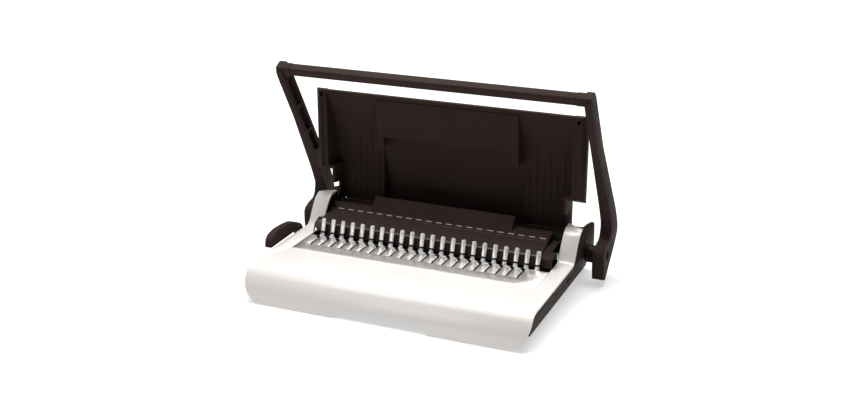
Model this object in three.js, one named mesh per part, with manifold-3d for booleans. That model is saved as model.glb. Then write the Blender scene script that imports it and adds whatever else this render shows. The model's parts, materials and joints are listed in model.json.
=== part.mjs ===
// Comb binding machine for A4 sheets: a bail handle drives 21 punch pins through an upright
// paper slot, a side lever pulls 21 hooks forward to open a plastic comb on 22 fingers, and a
// hinged lid stands open behind the slot. Millimetres, +X to the machine's right, +Y to its
// back, +Z up. The origin is on the table, below the middle of the machine's footprint.
import * as THREE from 'three';
import { mergeVertices } from 'three/addons/utils/BufferGeometryUtils.js';
import Module from 'manifold-3d';

const wasm = await Module();
wasm.setup();

// ---------------------------------------------------------------- driving dimensions
// Lengths along Y are measured from the row of fingers until the last lines, which shift the
// whole machine so that its footprint is centred.
const PITCH = 14.2875;            // comb hole pitch, 9/16 inch
const HOLES = 21;                 // holes along the long edge of A4
const FINGERS = HOLES + 1;
const GAP = 0.3;                  // gap between separate pieces that meet
const FRONT = -146;               // foremost point, the foot of the apron
const REAR = 140;                 // a plane behind the whole machine
const COVER_X = 188;              // half width of the top cover
const COVER_T = 3;                // thickness of the top cover
const WINDOW_X = 166.7;           // half width of the opening in the cover
const DECK_Z = 42;                // height of the deck
const PLATE_FRONT = -53;          // front edge of the comb plate
const BASE_Z = 2.6;               // underside of the base, on its feet
const TUB_X = 169.7;              // half width of the base tub
const TUB_WALL = 3;
const TUB_RIM = 38.5;
const CHEEK_X = 187.4;            // outer face of the side panels
const CHEEK_IN = 167;             // inner face of the cheeks
const FIN_T = 3;                  // thickness of the fin at the back of each cheek
const SLOT_FRONT = 63;            // paper slot, from front to back
const SLOT_REAR = 68;
const DIE_T = 3;
const GUIDE_T = 5.4;
const DIE_Z = [44, 70];           // height range of the die plate
const PIN_Z = 52;                 // height of the punch pins
const PIN_W = 8;
const PIN_H = 3;
const SHAFT = { y: 88, z: 38, r: 4.5 };       // handle shaft
const LID_AXIS = { y: 83, z: 64, r: 3.2 };    // lid hinge pins
const LEVER_AXIS = { y: 22, z: 26, r: 4 };    // comb lever shaft
const DIAL_AXIS = { x: -159.2, z: 51.6, r: 2 }; // edge guide dial
const PUNCH_GEAR = { module: 4 / 3, teeth: 12 };
const OPENER_GEAR = { module: 13 / 7, teeth: 14 };
const DIAL_GEAR = { module: 0.9, teeth: 10 };
const PRESSURE = THREE.MathUtils.degToRad(25);
const ARM_IN = 201;               // inner face of the handle arms
const ARM_OUT = 216;              // outer face of the arms at their elbow
const ARM_OUT_TOP = 209.5;        // outer face of the arms near the bar
const BAR = { y: 7, z: 262.6, half: 6.6, lean: THREE.MathUtils.degToRad(30), end: 190.2 };
const LID = { x: 188, front: 62, top: 224.6, notch: 118, bend: 146, foot: 66, face: 91.5 };

// ---------------------------------------------------------------- finishes
const finish = (color, roughness, metalness = 0) =>
  new THREE.MeshStandardMaterial({ color, roughness, metalness });
const darkPlastic = finish(0x2d2624, 0.45);
const silverPlastic = finish(0xd8d4d2, 0.3, 0.15);
const brushedSteel = finish(0xc4c0bc, 0.32, 0.9);
const brightSteel = finish(0xe4e4e4, 0.12, 1);
const toolSteel = finish(0x8c8c90, 0.35, 0.9);
const blackRubber = finish(0x161616, 0.9);
const greyPlastic = finish(0x8f8b88, 0.4);
const blackPlastic = finish(0x141211, 0.4);

// ---------------------------------------------------------------- shape helpers
// A closed three.js geometry becomes a solid that can be joined and cut.
function solid(geometry) {
  const bare = new THREE.BufferGeometry();
  bare.setAttribute('position', geometry.getAttribute('position').clone());
  if (geometry.index) bare.setIndex(geometry.index.clone());
  const merged = mergeVertices(bare, 1e-4);
  return new wasm.Manifold(new wasm.Mesh({
    numProp: 3,
    vertProperties: new Float32Array(merged.getAttribute('position').array),
    triVerts: new Uint32Array(merged.index.array),
  }));
}

function geometryOf(body) {
  const mesh = body.getMesh();
  const geometry = new THREE.BufferGeometry();
  geometry.setAttribute('position', new THREE.BufferAttribute(mesh.vertProperties, 3));
  geometry.setIndex(new THREE.BufferAttribute(mesh.triVerts, 1));
  geometry.computeVertexNormals();
  return geometry;
}

const join = (...bodies) => bodies.reduce((whole, body) => whole.add(body));
const cut = (body, ...tools) => tools.reduce((left, tool) => left.subtract(tool), body);

const axes = (x, y, z) => new THREE.Matrix4().makeBasis(
  new THREE.Vector3(...x), new THREE.Vector3(...y), new THREE.Vector3(...z));
const SIDE_VIEW = axes([0, 1, 0], [0, 0, 1], [1, 0, 0]);
const FRONT_VIEW = axes([1, 0, 0], [0, 0, 1], [0, -1, 0]);

// A polygon whose corners may be rounded: each point is [u, v] or [u, v, radius].
function outline(points) {
  const shape = new THREE.Shape();
  points.forEach(([u, v, radius = 0], i) => {
    const here = new THREE.Vector2(u, v);
    const before = points[(i + points.length - 1) % points.length];
    const after = points[(i + 1) % points.length];
    const toBefore = new THREE.Vector2(before[0] - u, before[1] - v).normalize();
    const toAfter = new THREE.Vector2(after[0] - u, after[1] - v).normalize();
    const start = here.clone().addScaledVector(toBefore, radius);
    const end = here.clone().addScaledVector(toAfter, radius);
    if (i === 0) shape.moveTo(start.x, start.y);
    else shape.lineTo(start.x, start.y);
    if (radius > 0) shape.quadraticCurveTo(u, v, end.x, end.y);
  });
  return shape;
}

const extrude = (shape, depth, curveSegments = 4) =>
  new THREE.ExtrudeGeometry(shape, { depth, bevelEnabled: false, curveSegments });

// An outline in Y and Z, extruded from x0 to x1.
const alongX = (points, x0, x1, segments) => solid(
  extrude(outline(points), x1 - x0, segments).applyMatrix4(SIDE_VIEW).translate(x0, 0, 0));

// An outline in X and Z, extruded from y0 to y1.
const alongY = (points, y0, y1, segments) => solid(
  extrude(outline(points), y1 - y0, segments).applyMatrix4(FRONT_VIEW).translate(0, y1, 0));

// An outline in X and Y, extruded from z0 to z1.
const alongZ = (points, z0, z1, segments) => solid(
  extrude(outline(points), z1 - z0, segments).translate(0, 0, z0));

const box = (x0, x1, y0, y1, z0, z1) => solid(
  new THREE.BoxGeometry(x1 - x0, y1 - y0, z1 - z0)
    .translate((x0 + x1) / 2, (y0 + y1) / 2, (z0 + z1) / 2));

const rodX = (radius, x0, x1, y, z, sides = 24) => solid(
  new THREE.CylinderGeometry(radius, radius, x1 - x0, sides)
    .rotateZ(Math.PI / 2).translate((x0 + x1) / 2, y, z));

const rodY = (radius, y0, y1, x, z, sides = 24) => solid(
  new THREE.CylinderGeometry(radius, radius, y1 - y0, sides)
    .translate(x, (y0 + y1) / 2, z));

const rodZ = (radius, z0, z1, x, y, sides = 24) => solid(
  new THREE.CylinderGeometry(radius, radius, z1 - z0, sides)
    .rotateX(Math.PI / 2).translate(x, y, (z0 + z1) / 2));

const mirrorX = (body) => body.mirror([1, 0, 0]);

// An open line moved sideways by a distance, to the right of its direction of travel.
function parallel(points, distance) {
  return points.map(([u, v], i) => {
    const p = new THREE.Vector2(u, v);
    const last = points.length - 1;
    const way = (a, b) => new THREE.Vector2(points[b][0] - points[a][0],
      points[b][1] - points[a][1]).normalize();
    const into = i > 0 ? way(i - 1, i) : way(0, 1);
    const out = i < last ? way(i, i + 1) : way(last - 1, last);
    const mid = into.clone().add(out).normalize();
    const reach = distance / mid.dot(into);
    return [p.x + mid.y * reach, p.y - mid.x * reach];
  });
}

// ---------------------------------------------------------------- gears and racks
const BACKLASH = 0.16;            // taken off each flank
const ADDENDUM = 0.8;             // in modules
const DEDENDUM = 1.1;

// Outline of a spur gear, centred on the origin, with its first tooth pointing to +v.
function gearOutline({ module, teeth }) {
  const pitch = module * teeth / 2;
  const base = pitch * Math.cos(PRESSURE);
  const tip = pitch + ADDENDUM * module;
  const root = pitch - DEDENDUM * module;
  const spread = (r) => Math.sqrt(Math.max(0, (r / base) ** 2 - 1));
  const involute = (r) => spread(r) - Math.atan(spread(r));
  const half = Math.PI / (2 * teeth) - BACKLASH / pitch + involute(pitch);
  const start = Math.max(base, root);
  const radii = [0, 1 / 3, 2 / 3, 1].map((t) => start + (tip - start) * t);
  const points = [];
  const polar = (r, a) => points.push([-r * Math.sin(a), r * Math.cos(a)]);
  for (let tooth = 0; tooth < teeth; tooth += 1) {
    const centre = 2 * Math.PI * tooth / teeth;
    polar(root, centre - half);
    radii.forEach((r) => polar(r, centre - half + involute(r)));
    [...radii].reverse().forEach((r) => polar(r, centre + half - involute(r)));
    polar(root, centre + half);
  }
  return points;
}

// Outline of a straight rack above the origin's pitch line, teeth pointing to -v. A tooth gap
// is centred on u = 0, so that the rack meshes with a gear below whose tooth points to +v.
function rackOutline({ module }, from, to, back) {
  const pitch = Math.PI * module;
  const slope = Math.tan(PRESSURE);
  const tipHalf = pitch / 4 - BACKLASH - ADDENDUM * module * slope;
  const rootHalf = pitch / 4 - BACKLASH + DEDENDUM * module * slope;
  const points = [[to, back], [from, back], [from, DEDENDUM * module]];
  for (let u = pitch / 2 + pitch * Math.ceil((from + rootHalf) / pitch - 0.5);
    u + rootHalf <= to; u += pitch) {
    points.push([u - rootHalf, DEDENDUM * module], [u - tipHalf, -ADDENDUM * module]);
    points.push([u + tipHalf, -ADDENDUM * module], [u + rootHalf, DEDENDUM * module]);
  }
  points.push([to, DEDENDUM * module]);
  return points;
}

const shifted = (points, u, v) => points.map(([a, b]) => [a + u, b + v]);
const flipped = (points) => points.map(([a, b]) => [-a, -b]);

// ---------------------------------------------------------------- assembly helpers
const machine = new THREE.Group();

function add(name, body, material) {
  const mesh = new THREE.Mesh(geometryOf(body), material);
  mesh.name = name;
  machine.add(mesh);
}

const holeX = (i) => (i - (HOLES - 1) / 2) * PITCH;
const fingerX = (i) => (i - (FINGERS - 1) / 2) * PITCH;
const range = (count) => Array.from({ length: count }, (_, i) => i);

// ---------------------------------------------------------------- top cover
// The line of the cover seen from the side: up the apron, along the deck, over the cheek.
const COVER_LINE = [
  [FRONT, 0.9], [-143.6, 9], [-140, 19], [-135, 28.5], [-129.5, 36], [-123, 40.6], [-114, DECK_Z],
  [31, DECK_Z], [44, 61.5], [55.5, 76], [64, 79.2], [79, 79.4],
];

function topCover() {
  const inner = parallel(COVER_LINE, COVER_T).reverse();
  inner[inner.length - 1][1] = COVER_LINE[0][1];
  const shell = alongX([...COVER_LINE, ...inner], -COVER_X, COVER_X);
  const cornerR = 34;
  const recess = [[-66, 0], [-61, 4], [-58, 11], [-52, 15.2]];
  const face = [
    [-COVER_X, 0.9, cornerR], [recess[0][0], 0.9], ...recess.slice(1, 3), [...recess[3], 3],
    [-recess[3][0], recess[3][1], 3], ...recess.slice(1, 3).reverse().map(([x, z]) => [-x, z]),
    [-recess[0][0], 0.9], [COVER_X, 0.9, cornerR], [COVER_X, 100], [-COVER_X, 100],
  ];
  const front = alongY(face, FRONT - 10, REAR, 8);
  const window = box(-WINDOW_X, WINDOW_X, PLATE_FRONT, REAR, 0, 100);
  // The rear edge of each cheek runs forward as it goes outward.
  const slant = alongZ([[CHEEK_IN - 1, 78.6], [COVER_X + 1, 64.8], [COVER_X + 1, 95],
    [CHEEK_IN - 1, 95]], 50, 100);
  return cut(shell.intersect(front), window, slant, mirrorX(slant));
}
add('top_cover', topCover(), silverPlastic);

// ---------------------------------------------------------------- base and side panels
const TRAY = { x: 139, front: 34, rear: 123.4, z0: 6, z1: 27 };

function baseShell() {
  const [front, rear] = [-106, 126];
  const inner = TUB_X - TUB_WALL;
  return cut(
    box(-TUB_X, TUB_X, front, rear, BASE_Z, TUB_RIM),
    box(-inner, inner, front + TUB_WALL, rear - TUB_WALL, BASE_Z + TUB_WALL, 60),
    box(-TRAY.x - 1, TRAY.x + 1, rear - 10, rear + 1, BASE_Z + TUB_WALL, TRAY.z1 + 1),
    box(-TUB_X - 1, TUB_X + 1, SHAFT.y - 6, SHAFT.y + 6, SHAFT.z - 6, 60),
    rodX(LEVER_AXIS.r + 0.5, -TUB_X - 1, TUB_X + 1, LEVER_AXIS.y, LEVER_AXIS.z),
  );
}
add('base_shell', baseShell(), darkPlastic);

const BUSH_R = 8;
// Behind the cover the panel is a thin fin, beside a lower and thicker part.
function sidePanel() {
  const under = parallel(COVER_LINE, COVER_T + GAP).slice(4);
  const edge = [...under, [98, 74], [120, 69.8, 3], [125.6, 65, 3], [127, 54], [127, 3.4],
    [-106, 3.4]];
  const hollow = alongX([[80, 90], [80, 70], [88, 69.4], [104, 60], [118, 49], [REAR, 49],
    [REAR, 90]], CHEEK_IN - 1, CHEEK_X - FIN_T);
  const taper = alongY([[CHEEK_X, 36], [177, 2], [200, 2], [200, 36]], FRONT, REAR);
  return cut(
    alongX(edge, CHEEK_IN, CHEEK_X),
    box(CHEEK_IN - 1, TUB_X + GAP, FRONT, REAR, 0, TUB_RIM + GAP),
    taper,
    hollow,
    rodX(BUSH_R + GAP, CHEEK_IN - 1, CHEEK_X + 1, SHAFT.y, SHAFT.z),
    rodX(LID_AXIS.r + GAP, CHEEK_IN - 1, CHEEK_IN + 10, LID_AXIS.y, LID_AXIS.z),
    rodX(LEVER_AXIS.r + 0.5, CHEEK_IN - 1, CHEEK_X + 1, LEVER_AXIS.y, LEVER_AXIS.z),
  );
}
add('right_side_panel', sidePanel(), darkPlastic);
add('left_side_panel', mirrorX(sidePanel()), darkPlastic);

const bush = () => cut(
  rodX(BUSH_R, TUB_X + GAP, CHEEK_X - 0.4, SHAFT.y, SHAFT.z),
  rodX(SHAFT.r + GAP, TUB_X, CHEEK_X, SHAFT.y, SHAFT.z));
add('right_shaft_bush', bush(), greyPlastic);
add('left_shaft_bush', mirrorX(bush()), greyPlastic);

const FOOT = { x: 150, y: [-94, 108], r: 9 };
FOOT.y.forEach((y, i) => [-1, 1].forEach((side) => {
  const name = `${i ? 'rear' : 'front'}_${side < 0 ? 'left' : 'right'}_foot`;
  add(name, rodZ(FOOT.r, 0, BASE_Z - GAP, side * FOOT.x, y), blackRubber);
}));

// ---------------------------------------------------------------- comb plate and fingers
const PLATE_T = 1.2;
const PLATE_REAR = -2.6;
const SLIT = { front: -33, rear: -6.4, half: 1.1 };

function combPlate() {
  const top = DECK_Z + 0.5;
  const plate = box(-WINDOW_X + GAP, WINDOW_X - GAP, PLATE_FRONT + GAP, PLATE_REAR,
    top - PLATE_T, top);
  const slits = range(HOLES).map((i) => box(fingerX(i) - SLIT.half, fingerX(i) + SLIT.half,
    SLIT.front, SLIT.rear, top - 5, top + 5));
  return cut(plate, ...slits);
}
add('comb_plate', combPlate(), brushedSteel);

const FINGER = { half: 2.8, foot: 36, shoulder: 43.2, top: 65.6, t: 1.4, lean: 0.33 };
function fingerComb() {
  const end = fingerX(FINGERS - 1) + 8;
  const teeth = range(FINGERS).reverse().flatMap((i) => {
    const x = fingerX(i);
    return [[x + FINGER.half + 1.6, FINGER.shoulder], [x + FINGER.half, FINGER.shoulder + 2],
      [x + FINGER.half, FINGER.top, 2.4], [x - FINGER.half, FINGER.top, 2.4],
      [x - FINGER.half, FINGER.shoulder + 2], [x - FINGER.half - 1.6, FINGER.shoulder]];
  });
  const shape = [[-end, FINGER.foot], [end, FINGER.foot], [end, FINGER.shoulder - 2],
    ...teeth, [-end, FINGER.shoulder - 2]];
  const flat = extrude(outline(shape), FINGER.t, 3).applyMatrix4(FRONT_VIEW);
  return solid(flat.translate(0, FINGER.t, -DECK_Z).rotateX(-FINGER.lean).translate(0, -0.6, DECK_Z));
}
add('finger_comb', fingerComb(), brightSteel);

// ---------------------------------------------------------------- punch block
// Seen from the side: the low front, the long slope with the row of marks, the slot's edge.
const BLOCK_LINE = [[5.8, 43], [9.6, 54.6], [12, 56.4], [40, 66], [60 - GAP, 71.4]];
const BLOCK_X = 151;

function blockShell(line, x0, x1) {
  const wall = parallel(line, 2.6).reverse();
  const rear = line[4][0];
  wall[0] = [rear, wall[0][1] - 0.6];
  wall[4][1] = line[0][1];
  return alongX([...line, ...wall], x0, x1);
}

const FLAP_X = 99.4;

function punchBlock() {
  const flap = alongX([[47, 67.2], [58.4, 84], [62.6, 84.6], [62.6, 71], [60 - GAP, 71], [58, 69]],
    -FLAP_X, FLAP_X);
  return join(blockShell(BLOCK_LINE, -BLOCK_X, BLOCK_X), flap);
}
add('punch_block', punchBlock(), darkPlastic);

// The block's lower ends leave a groove beside each cheek for the side walls of the shut lid.
const END_LINE = [[5.8, 43], [9.6, 53.4], [12, 55], [26, 59.6], [60 - GAP, 60.4]];
const GROOVE = { x: 161.2, front: 24, rear: 54, floor: 43.6 };
const endBlock = () => cut(blockShell(END_LINE, BLOCK_X + GAP, CHEEK_IN - GAP),
  box(GROOVE.x, CHEEK_IN, GROOVE.front, GROOVE.rear, GROOVE.floor, 80));
add('right_end_block', endBlock(), darkPlastic);

const DIAL_R = 6.4;
const leftEndBlock = cut(
  mirrorX(endBlock()),
  rodY(DIAL_R + 0.7, 0, 18, DIAL_AXIS.x, DIAL_AXIS.z),
  box(DIAL_AXIS.x - DIAL_R - 0.7, DIAL_AXIS.x + DIAL_R + 0.7, 0, 18, 30, DIAL_AXIS.z),
  rodY(DIAL_AXIS.r + GAP, 0, 50, DIAL_AXIS.x, DIAL_AXIS.z, 12));
add('left_end_block', leftEndBlock, darkPlastic);

const PUNCH_X = GROOVE.x;
const pinHoles = (y0, y1) => range(HOLES).map((i) => box(
  holeX(i) - PIN_W / 2 - GAP, holeX(i) + PIN_W / 2 + GAP,
  y0, y1, PIN_Z - PIN_H / 2 - GAP, PIN_Z + PIN_H / 2 + GAP));
add('die_plate', cut(box(-PUNCH_X, PUNCH_X, SLOT_FRONT - DIE_T, SLOT_FRONT, ...DIE_Z),
  box(-FLAP_X - GAP, FLAP_X + GAP, SLOT_FRONT - 0.7, SLOT_FRONT + 1, 70.5, 80),
  ...pinHoles(SLOT_FRONT - 5, SLOT_FRONT + 1)), toolSteel);
add('pin_guide', cut(box(-PUNCH_X, PUNCH_X, SLOT_REAR, SLOT_REAR + GUIDE_T, DIE_Z[0], 63),
  ...[-1, 1].map((side) => box(side * 157 - 5.4, side * 157 + 5.4, SLOT_REAR - 1,
    SLOT_REAR + GUIDE_T + 1, DIE_Z[0] - 1, 51.2)),
  ...pinHoles(SLOT_REAR - 1, SLOT_REAR + GUIDE_T + 1)), toolSteel);
add('slot_floor', box(-156.4, 156.4, SLOT_FRONT + GAP, SLOT_REAR - GAP, 45.2, 47.4), toolSteel);

// ---------------------------------------------------------------- rear cover
function rearCover() {
  const line = [[SLOT_REAR + GUIDE_T + GAP, 62], [103, 64], [111, 60.5], [119, 49.5],
    [126, TUB_RIM + GAP]];
  const wall = parallel(line, 2.6).reverse();
  wall[0] = [line[4][0] - 3.6, line[4][1]];
  wall[4] = [line[0][0], wall[4][1]];
  return alongX([...line, ...wall], -160.8, 160.8);
}
add('rear_cover', rearCover(), darkPlastic);

// ---------------------------------------------------------------- handle
const BAR_ROUND = 3;
// The section of the grip bar: a rounded square that leans with the arms.
function barSection(half, radius) {
  const [across, up] = [Math.cos(BAR.lean), Math.sin(BAR.lean)];
  return [[-1, -1], [1, -1], [1, 1], [-1, 1]].map(([a, b]) => [
    BAR.y + half * (a * across - b * up), BAR.z + half * (a * up + b * across), radius]);
}

const ARM_LINE = [
  [-1, 260.4, 2], [2.6, 252], [92, 101, 14], [105.5, 74, 9], [100, 56, 7], [84, 53, 6],
  [70.5, 47, 6], [70, 30, 6], [73.5, 9.6, 2], [83, 6.6, 2], [122, 41, 10], [136.6, 58, 10],
  [128, 86, 14], [20.6, 265, 4], [12, 272.2, 3], [4, 269, 3],
];

function handleArm() {
  const blade = alongX(ARM_LINE, ARM_IN, ARM_OUT);
  const splay = alongY([[ARM_OUT + 0.01, 66], [ARM_OUT_TOP, 190], [ARM_OUT_TOP, 300],
    [ARM_OUT + 9, 300], [ARM_OUT + 9, 66]], -60, REAR + 10);
  const corner = alongX(barSection(BAR.half, BAR_ROUND), BAR.end + GAP, ARM_OUT_TOP);
  const along = ([y, z], t) => [y + t * 0.51, z - t * 0.86];
  const pockets = [[0, 50], [54, 96], [100, 136]].map(([a, b]) => alongX(
    [along([12, 245.5], a), along([12, 245.5], b), along([22.6, 251], b), along([22.6, 251], a)],
    ARM_IN - 1, ARM_IN + 5));
  return cut(join(blade, corner), splay, ...pockets,
    rodX(6.5, ARM_OUT - 6, ARM_OUT + 1, SHAFT.y, SHAFT.z),
    rodX(7.5 + GAP, ARM_IN - 5, ARM_OUT - 6 + 0.1, SHAFT.y, SHAFT.z));
}
add('right_arm', handleArm(), darkPlastic);
add('left_arm', mirrorX(handleArm()), darkPlastic);
add('handle_bar', alongX(barSection(BAR.half - 0.4, BAR_ROUND), -BAR.end, BAR.end), darkPlastic);

// The shaft runs from arm to arm, with a wide collar between each cheek and its arm.
function handleShaft() {
  const end = ARM_OUT - 6 - 2 * GAP;
  const collar = [CHEEK_X + 0.8, ARM_IN - 2 * GAP];
  const half = [[SHAFT.r, collar[0]], [11.5, collar[0]], [11.5, collar[1]], [7.5, collar[1]],
    [7.5, end], [0, end]];
  const profile = [...half.map(([r, x]) => [r, -x]).reverse(), ...half];
  return solid(new THREE.LatheGeometry(profile.map(([r, x]) => new THREE.Vector2(r, x)), 24)
    .rotateZ(-Math.PI / 2).translate(0, SHAFT.y, SHAFT.z));
}
add('handle_shaft', handleShaft(), blackPlastic);

const gearX = (gear, bore, x0, x1, y, z) => cut(
  alongX(shifted(gearOutline(gear), y, z), x0, x1),
  rodX(bore, x0 - 1, x1 + 1, y, z));
const DRIVE_X = [152.4, 158];
const driveGear = () => gearX(PUNCH_GEAR, SHAFT.r + GAP, ...DRIVE_X, SHAFT.y, SHAFT.z);
add('right_drive_gear', driveGear(), toolSteel);
add('left_drive_gear', mirrorX(driveGear()), toolSteel);

// ---------------------------------------------------------------- punch bar and pins
const PIN_TIP = SLOT_REAR + 1.5;
const PUNCH_BAR = { front: 83.6, rear: 88, z0: 48.4, z1: 55.6 };

function punchBar() {
  const pitch = PUNCH_GEAR.module * PUNCH_GEAR.teeth / 2;
  const teeth = shifted(rackOutline(PUNCH_GEAR, -8.4, 14, 4.6), SHAFT.y, SHAFT.z + pitch);
  const rack = alongX(teeth, DRIVE_X[0] - 0.4, DRIVE_X[1] + 0.4);
  return join(box(-DRIVE_X[1] - 0.4, DRIVE_X[1] + 0.4, PUNCH_BAR.front, PUNCH_BAR.rear,
    PUNCH_BAR.z0, PUNCH_BAR.z1), rack, mirrorX(rack));
}
add('punch_bar', punchBar(), toolSteel);
range(HOLES).forEach((i) => add(`punch_pin_${String(i + 1).padStart(2, '0')}`,
  box(holeX(i) - PIN_W / 2, holeX(i) + PIN_W / 2, PIN_TIP, PUNCH_BAR.front - GAP,
    PIN_Z - PIN_H / 2, PIN_Z + PIN_H / 2), brightSteel));

// ---------------------------------------------------------------- comb lever and hooks
const LEVER_X = [-198.8, -190];
function combLever() {
  const paddle = alongX([
    [-66, 37, 1], [-65.4, 55, 9], [-47, 60.2, 8], [-24, 59.6, 6], [-4, 57.4, 8], [14, 50.4, 5],
    [31, 29, 6], [24, 16, 6], [12, 22, 5], [8, 36, 6], [-20, 38.4, 10], [-56, 38, 4],
  ], ...LEVER_X, 5);
  return cut(paddle, rodX(LEVER_AXIS.r + GAP, LEVER_X[0] + 3, 0, LEVER_AXIS.y, LEVER_AXIS.z));
}
add('comb_lever', combLever(), darkPlastic);
add('lever_shaft', rodX(LEVER_AXIS.r, LEVER_X[0] + 3 + GAP, TUB_X - 1,
  LEVER_AXIS.y, LEVER_AXIS.z), toolSteel);
const HOOK_X = [148.6, 155];
const openerGear = () => gearX(OPENER_GEAR, LEVER_AXIS.r + GAP, ...HOOK_X,
  LEVER_AXIS.y, LEVER_AXIS.z);
add('right_opener_gear', openerGear(), greyPlastic);
add('left_opener_gear', mirrorX(openerGear()), greyPlastic);

// One frame under the plate: two racks below the gears, a cross wall, and 21 hooks on it.
function combOpener() {
  const pitch = OPENER_GEAR.module * OPENER_GEAR.teeth / 2;
  const wall = [-11.4, -9.2];
  const teeth = flipped(rackOutline(OPENER_GEAR, -28.5, 7.5, 4.6));
  const rack = alongX(shifted(teeth, LEVER_AXIS.y, LEVER_AXIS.z - pitch), HOOK_X[0] - 0.4,
    HOOK_X[1] + 0.4);
  const link = box(HOOK_X[0] - 0.4, HOOK_X[1] + 0.4, wall[0], LEVER_AXIS.y - 5, 8.4, 10.6);
  const across = box(-HOOK_X[1] - 0.4, HOOK_X[1] + 0.4, ...wall, 8.4, 39.6);
  const hooks = range(HOLES).map((i) => alongX([[wall[0], 38], [wall[1], 38], [wall[1], 45.9],
    [wall[0] - 1.4, 46.6], [wall[0] - 1.4, 44.8], [wall[0], 44.2]],
  fingerX(i) - 0.75, fingerX(i) + 0.75));
  return join(across, link, mirrorX(link), rack, mirrorX(rack), ...hooks);
}
add('comb_opener', combOpener(), toolSteel);

// ---------------------------------------------------------------- edge guide
const GUIDE_Y = [54.6, 59.2];     // front and back of the edge guide's rack and pinion
function edgeDial() {
  const gear = alongY(shifted(gearOutline(DIAL_GEAR), DIAL_AXIS.x, DIAL_AXIS.z), ...GUIDE_Y);
  return join(rodY(DIAL_R, 8.8, 15, DIAL_AXIS.x, DIAL_AXIS.z),
    rodY(DIAL_AXIS.r, 13, GUIDE_Y[0] + 1, DIAL_AXIS.x, DIAL_AXIS.z, 12), gear);
}
add('edge_dial', edgeDial(), greyPlastic);

function edgeStop() {
  const pitch = DIAL_GEAR.module * DIAL_GEAR.teeth / 2;
  const teeth = flipped(rackOutline(DIAL_GEAR, -7, 7, 3.4));
  const rack = alongY(shifted(teeth, DIAL_AXIS.x, DIAL_AXIS.z - pitch), ...GUIDE_Y);
  const [x0, x1] = [DIAL_AXIS.x - 7, DIAL_AXIS.x - 3];
  const neck = box(x0, x1, ...GUIDE_Y, 42, 44.6);
  const arm = box(x0, x1, GUIDE_Y[0], SLOT_REAR - 0.5, 40.6, 43.4);
  const tab = box(x0, x1, SLOT_FRONT + 0.5, SLOT_REAR - 0.5, 42, 56);
  return join(rack, arm, neck, tab);
}
add('edge_stop', edgeStop(), greyPlastic);

// ---------------------------------------------------------------- lid
// The lid's inner face curves back from its top edge, then runs straight down from the bend.
// In the middle, its lower part slopes back to clear the block's flap when the lid is shut.
const LID_WALL = { in: 162, out: 165.7, front: 63.2, low: 94.5 };
const WING = { step: 172.3, rim: 178.6, corner: 182.4, rear: 77, foot: 109 };
const POCKET = { x: 100.8, low: 64, face: 104.8, bend: 98, top: 146 };
const faceY = (z) => LID.face
  - (LID.face - LID.front - 1) * (Math.max(0, z - LID.bend) / (LID.top - 2.6 - LID.bend)) ** 1.55;

// The inner face from z0 to z1, as a line of points in Y and Z.
const BENDS = range(9).map((i) => LID.bend + i * 8);
const faceLine = (z0, z1, offset = 0) => [z0, ...BENDS.filter((z) => z > z0 && z < z1 - 3), z1]
  .map((z) => [faceY(z) + offset, z]);

function lidShell() {
  const { front, top, notch, foot } = LID;
  const skin = 2.8;
  const panel = (half, z0) => alongX([...faceLine(z0, top - 2.6), [front, top - 2], [front, top],
    [front + 7, top], ...faceLine(z0, top - 9, skin).reverse()], -half, half);
  const section = [[WING.step, front], [WING.corner, front], [LID.x, front + 6],
    [LID.x, WING.rear], [WING.step, WING.rear]];
  const under = alongX([[front - 1, notch], [WING.rear + 1, WING.foot], [WING.rear + 1, 90],
    [front - 1, 90]], LID_WALL.out - 5, LID.x + 1);
  const slope = alongX([[front + 9, top + 1], [WING.rear, top - 34], [WING.rear + 1, top - 34],
    [WING.rear + 1, top + 1]], WING.step - 1, LID.x + 1);
  const wing = cut(alongZ(section, WING.foot, top), under, slope,
    box(WING.step - 1, WING.rim, front - 1, front + 1.6, notch - 9, top - 12),
    box(176.4, 180.4, front - 1, front + 5, top - 9, top - 4),
    box(WING.rim + 2.4, LID.x - 2.6, front + 9, WING.rear - 2.6, 100, top - 40));
  const inside = alongX([[front + 1.2, notch - 3], ...faceLine(notch - 3, top - 8, 0.5),
    [front + 1.2, top - 4]], WING.step - 0.7, WING.step + 2.3);
  const { y, z } = LID_AXIS;
  const side = alongX([[LID_WALL.front, notch - 1], [LID_WALL.front, LID_WALL.low, 4],
    [y - 2, LID_WALL.low - 1], [y - 2, 86], [y - 6, 78], [y - 9, 72], [y - 9, 57, 7],
    [y + 9, 57, 7], [y + 12, 74], [LID.face + 1, 80], [LID.face + 1, notch]],
  LID_WALL.in, LID_WALL.out);
  const sill = alongX([[LID_WALL.front, notch - 3], [faceY(notch) + 1, notch - 3],
    [faceY(notch) + 1, notch + 0.4], [LID_WALL.front, notch + 0.4]], LID_WALL.in, WING.step + 1);
  const pocketSkin = alongX([[LID.face + 1, POCKET.top + 6], [POCKET.face + skin, POCKET.bend],
    [POCKET.face + skin, POCKET.low], [LID.face + 1, POCKET.low]],
  -POCKET.x - skin, POCKET.x + skin);
  const pocket = alongX([[LID.face - 2, POCKET.top + 2], [LID.face, POCKET.top],
    [POCKET.face, POCKET.bend], [POCKET.face, POCKET.low - 2], [LID.face - 2, POCKET.low - 2]],
  -POCKET.x, POCKET.x);
  const outer = join(wing, inside, side, sill);
  return cut(join(panel(LID_WALL.out, foot), panel(WING.step + 1, notch), pocketSkin,
    outer, mirrorX(outer)), pocket,
  rodX(LID_AXIS.r + GAP, -170, 170, y, z)).asOriginal().simplify(0.03);
}
add('lid_shell', lidShell(), darkPlastic);

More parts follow.
